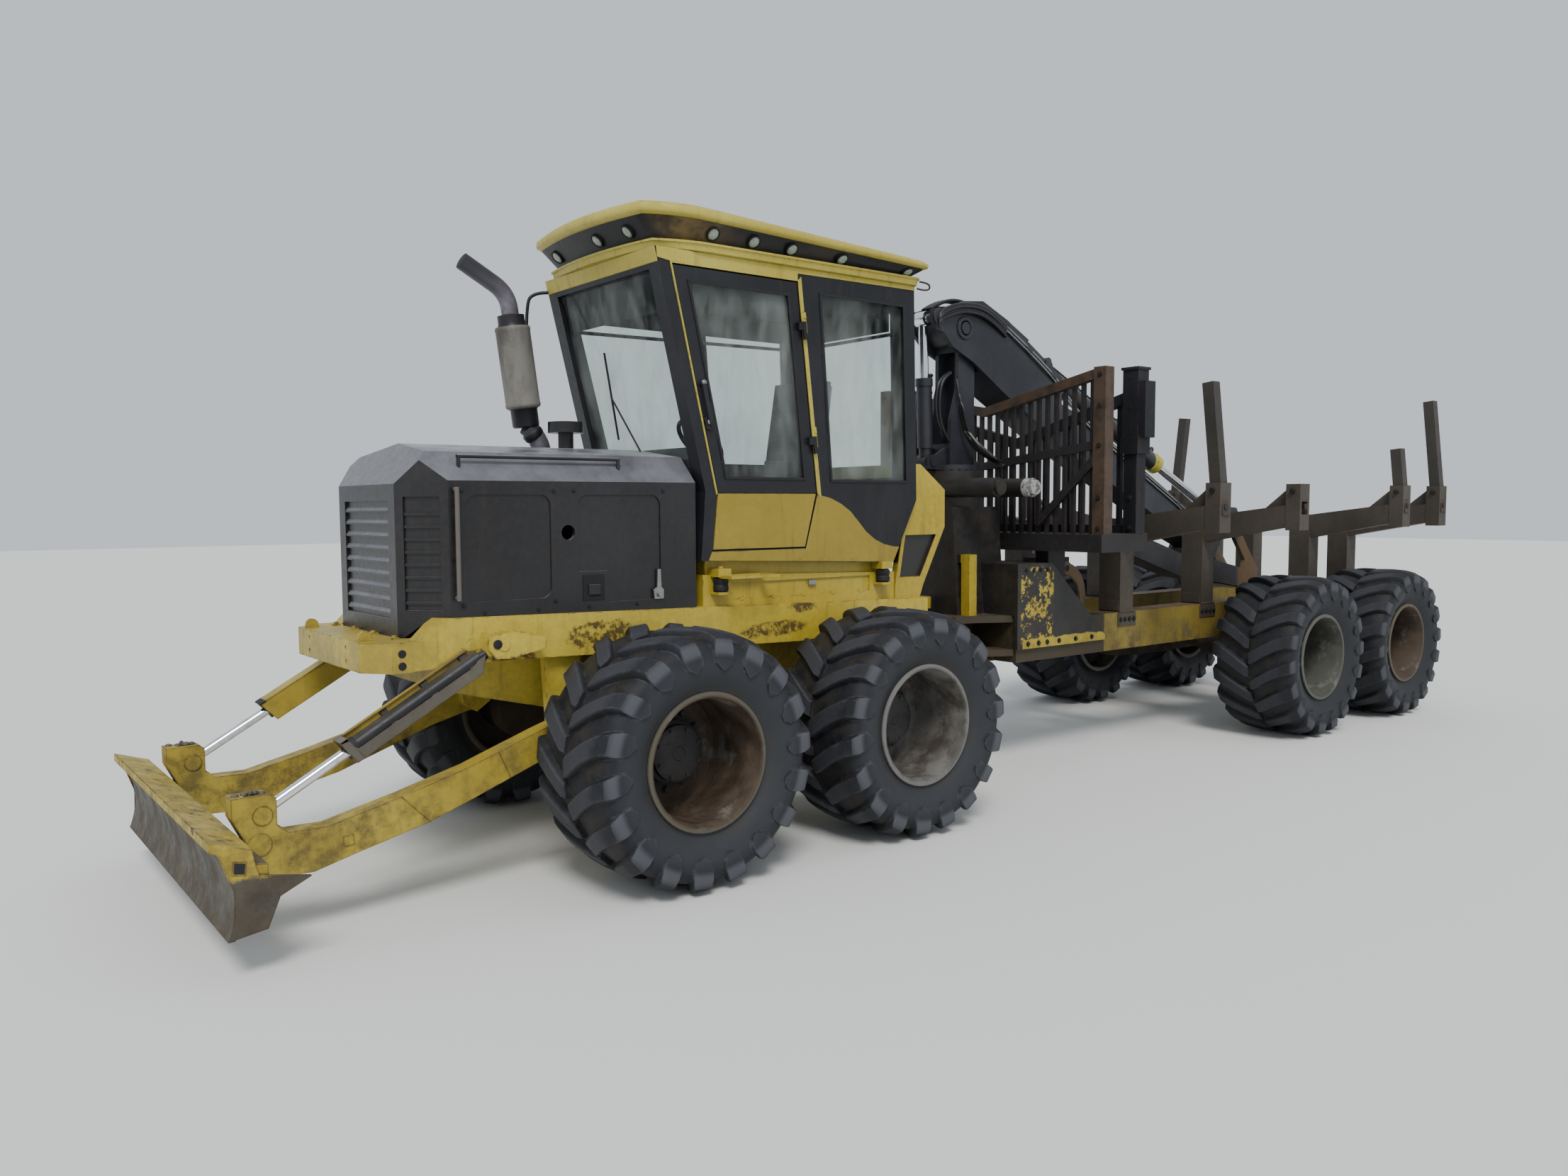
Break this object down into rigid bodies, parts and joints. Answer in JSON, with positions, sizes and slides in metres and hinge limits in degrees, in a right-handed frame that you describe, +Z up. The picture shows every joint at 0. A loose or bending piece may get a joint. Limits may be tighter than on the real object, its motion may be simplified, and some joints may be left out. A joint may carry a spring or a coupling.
{
  "type": "forestry forwarder",
  "caption": "Articulated forestry forwarder with bogie wheels, front dozer blade, glazed cab, folded knuckle-boom crane with grapple, slatted headboard and bunks with leaning stakes.",
  "frame": {"origin": "on the ground under the middle of the whole length, on the centre plane", "axes": "+X forward to the blade, +Y to the machine's left, +Z up"},
  "size_m": [10.83, 2.9498, 3.6583],
  "materials": {
    "yellow_paint": "worn satin",
    "black_paint": "worn satin",
    "worn_brown_paint": "rusty matt",
    "cast_housing": "dirty matt",
    "chromed_rod": "polished",
    "clear_glass": "dusty",
    "engine_iron": "matt",
    "exhaust_steel": "heat-stained matt",
    "seat_fabric": "worn",
    "dash_plastic": "matt",
    "lamp_band": "matt",
    "tyre_rubber": "dusty matt",
    "rim_paint": "rusty matt"
  },
  "bodies": {
    "front": {"front_frame": "yellow_paint", "front_axle": "cast_housing", "hood": "black_paint", "hood_grille": "black_paint", "engine_block": "engine_iron", "exhaust": "exhaust_steel", "cab_shell": "black_paint", "cab_roof": "yellow_paint", "roof_lights": "lamp_band", "cab_riser": "yellow_paint", "cab_glass": "clear_glass", "seat": "seat_fabric", "console": "dash_plastic", "rear_box": "yellow_paint"},
    "door": {"cab_door": "black_paint", "door_panel": "yellow_paint", "door_glass": "clear_glass"},
    "blade": {"blade": "yellow_paint", "blade_arms": "yellow_paint"},
    "blade_barrel": {"blade_barrels": "yellow_paint"},
    "blade_rod": {"blade_rods": "chromed_rod"},
    "rear": {"rear_frame": "yellow_paint", "rear_axle": "cast_housing", "crane_base": "yellow_paint", "headboard": "black_paint", "load_gate": "black_paint", "bunks": "worn_brown_paint", "stakes": "worn_brown_paint"},
    "steer_barrel_left": {"steer_barrel_left": "black_paint"},
    "steer_rod_left": {"steer_rod_left": "chromed_rod"},
    "steer_barrel_right": {"steer_barrel_right": "black_paint"},
    "steer_rod_right": {"steer_rod_right": "chromed_rod"},
    "mast": {"crane_mast": "black_paint"},
    "lift_barrel": {"lift_barrel": "black_paint"},
    "lift_rod": {"lift_rod": "chromed_rod"},
    "boom": {"main_boom": "black_paint"},
    "fold_barrel": {"fold_barrel": "black_paint"},
    "fold_rod": {"fold_rod": "chromed_rod"},
    "stick": {"stick": "black_paint"},
    "hanger": {"hanger": "black_paint"},
    "grapple": {"grapple_head": "black_paint"},
    "jaw_front": {"jaw_front": "black_paint"},
    "jaw_rear": {"jaw_rear": "black_paint"},
    "wheel_front_lead_left": {"tyre_front_lead_left": "tyre_rubber", "rim_front_lead_left": "rim_paint"},
    "wheel_front_lead_right": {"tyre_front_lead_right": "tyre_rubber", "rim_front_lead_right": "rim_paint"},
    "wheel_front_trail_left": {"tyre_front_trail_left": "tyre_rubber", "rim_front_trail_left": "rim_paint"},
    "wheel_front_trail_right": {"tyre_front_trail_right": "tyre_rubber", "rim_front_trail_right": "rim_paint"},
    "wheel_rear_lead_left": {"tyre_rear_lead_left": "tyre_rubber", "rim_rear_lead_left": "rim_paint"},
    "wheel_rear_lead_right": {"tyre_rear_lead_right": "tyre_rubber", "rim_rear_lead_right": "rim_paint"},
    "wheel_rear_trail_left": {"tyre_rear_trail_left": "tyre_rubber", "rim_rear_trail_left": "rim_paint"},
    "wheel_rear_trail_right": {"tyre_rear_trail_right": "tyre_rubber", "rim_rear_trail_right": "rim_paint"}
  },
  "joints": [
    {"name": "steering", "type": "hinge", "parent": "front", "child": "rear", "pos_m": [0.335, 0, 1], "axis": [0, 0, 1], "range_deg": [-38, 38]},
    {"name": "cab_door_swing", "type": "hinge", "parent": "front", "child": "door", "pos_m": [1.82298, 0.67, 2.33], "axis": [0.1164, 0, 0.9932], "range_deg": [0, 100]},
    {"name": "blade_lift", "type": "hinge", "parent": "front", "child": "blade", "pos_m": [3.535, 0, 0.8], "axis": [0, -1, 0], "range_deg": [-5, 22]},
    {"name": "blade_ram_tilt", "type": "hinge", "parent": "front", "child": "blade_barrel", "pos_m": [3.948, 0, 1.273], "axis": [0, -1, 0], "range_deg": [-6.03, 26.52]},
    {"name": "blade_ram_stroke", "type": "slide", "parent": "blade_barrel", "child": "blade_rod", "axis": [0.8654, 0, -0.501], "range_m": [-0.22677, 0.05154]},
    {"name": "steer_ram_swing_left", "type": "hinge", "parent": "front", "child": "steer_barrel_left", "pos_m": [1.135, 0.38, 1], "axis": [0, 0, 1], "range_deg": [-3.26, 3.26]},
    {"name": "steer_ram_stroke_left", "type": "slide", "parent": "steer_barrel_left", "child": "steer_rod_left", "axis": [-0.9991, -0.0434, 0], "range_m": [-0.22087, 0.22087]},
    {"name": "steer_ram_swing_right", "type": "hinge", "parent": "front", "child": "steer_barrel_right", "pos_m": [1.135, -0.38, 1], "axis": [0, 0, 1], "range_deg": [-3.26, 3.26]},
    {"name": "steer_ram_stroke_right", "type": "slide", "parent": "steer_barrel_right", "child": "steer_rod_right", "axis": [-0.9991, 0.0434, 0], "range_m": [-0.22087, 0.22087]},
    {"name": "crane_slew", "type": "hinge", "parent": "rear", "child": "mast", "pos_m": [-0.095, 0, 2.22], "axis": [0, 0, 1], "range_deg": [-3, 3]},
    {"name": "boom_lift", "type": "hinge", "parent": "mast", "child": "boom", "pos_m": [-0.065, 0, 3.28], "axis": [0, 1, 0], "range_deg": [0, 85]},
    {"name": "lift_ram_tilt", "type": "hinge", "parent": "mast", "child": "lift_barrel", "pos_m": [0.185, 0, 2.285], "axis": [0, 1, 0], "range_deg": [-11.05, 0]},
    {"name": "lift_ram_stroke", "type": "slide", "parent": "lift_barrel", "child": "lift_rod", "axis": [0.0284, 0, 0.9996], "range_m": [-0.35409, 0]},
    {"name": "boom_fold", "type": "hinge", "parent": "boom", "child": "stick", "pos_m": [-3.475, 0, 1.66], "axis": [0, 1, 0], "range_deg": [0, 46.8]},
    {"name": "fold_ram_tilt", "type": "hinge", "parent": "boom", "child": "fold_barrel", "pos_m": [-1.035, 0, 3.1], "axis": [0, 1, 0], "range_deg": [0, 1.99]},
    {"name": "fold_ram_stroke", "type": "slide", "parent": "fold_barrel", "child": "fold_rod", "axis": [-0.9108, 0, -0.4128], "range_m": [-0.29432, 0]},
    {"name": "grapple_hang", "type": "hinge", "parent": "stick", "child": "hanger", "pos_m": [-1.235, 0, 1.895], "axis": [0, 1, 0], "range_deg": [-131.88, 0]},
    {"name": "grapple_turn", "type": "hinge", "parent": "hanger", "child": "grapple", "pos_m": [-1.235, 0, 1.56], "axis": [0, 0, 1], "continuous": true},
    {"name": "jaw_front_open", "type": "hinge", "parent": "grapple", "child": "jaw_front", "pos_m": [-1.145, 0, 1.44], "axis": [0, -1, 0], "range_deg": [0, 62]},
    {"name": "jaw_rear_open", "type": "hinge", "parent": "grapple", "child": "jaw_rear", "pos_m": [-1.325, 0, 1.44], "axis": [0, 1, 0], "range_deg": [0, 62]},
    {"name": "wheel_front_lead_left", "type": "hinge", "parent": "front", "child": "wheel_front_lead_left", "pos_m": [3.163, 1.125, 0.675], "axis": [0, 1, 0], "continuous": true},
    {"name": "wheel_front_lead_right", "type": "hinge", "parent": "front", "child": "wheel_front_lead_right", "pos_m": [3.163, -1.125, 0.675], "axis": [0, 1, 0], "continuous": true},
    {"name": "wheel_front_trail_left", "type": "hinge", "parent": "front", "child": "wheel_front_trail_left", "pos_m": [1.607, 1.125, 0.675], "axis": [0, 1, 0], "continuous": true},
    {"name": "wheel_front_trail_right", "type": "hinge", "parent": "front", "child": "wheel_front_trail_right", "pos_m": [1.607, -1.125, 0.675], "axis": [0, 1, 0], "continuous": true},
    {"name": "wheel_rear_lead_left", "type": "hinge", "parent": "rear", "child": "wheel_rear_lead_left", "pos_m": [-3.102, 1.125, 0.675], "axis": [0, 1, 0], "continuous": true},
    {"name": "wheel_rear_lead_right", "type": "hinge", "parent": "rear", "child": "wheel_rear_lead_right", "pos_m": [-3.102, -1.125, 0.675], "axis": [0, 1, 0], "continuous": true},
    {"name": "wheel_rear_trail_left", "type": "hinge", "parent": "rear", "child": "wheel_rear_trail_left", "pos_m": [-4.658, 1.125, 0.675], "axis": [0, 1, 0], "continuous": true},
    {"name": "wheel_rear_trail_right", "type": "hinge", "parent": "rear", "child": "wheel_rear_trail_right", "pos_m": [-4.658, -1.125, 0.675], "axis": [0, 1, 0], "continuous": true}
  ],
  "couplings": [
    {"joint": "blade_ram_tilt", "follows": "blade_lift", "ratio": 1.182},
    {"joint": "blade_ram_stroke", "follows": "blade_lift", "m_per_rad": -0.579},
    {"joint": "steer_ram_swing_left", "follows": "steering", "ratio": 0.084},
    {"joint": "steer_ram_stroke_left", "follows": "steering", "m_per_rad": 0.3265},
    {"joint": "steer_ram_swing_right", "follows": "steering", "ratio": 0.084},
    {"joint": "steer_ram_stroke_right", "follows": "steering", "m_per_rad": -0.3265},
    {"joint": "lift_ram_tilt", "follows": "boom_lift", "ratio": -0.1275},
    {"joint": "lift_ram_stroke", "follows": "boom_lift", "m_per_rad": -0.234},
    {"joint": "boom_fold", "follows": "boom_lift", "ratio": 0.55},
    {"joint": "fold_ram_tilt", "follows": "boom_lift", "ratio": 0.023},
    {"joint": "fold_ram_stroke", "follows": "boom_lift", "m_per_rad": -0.1945},
    {"joint": "grapple_hang", "follows": "boom_lift", "ratio": -1.55},
    {"joint": "jaw_rear_open", "follows": "jaw_front_open", "ratio": 1}
  ]
}
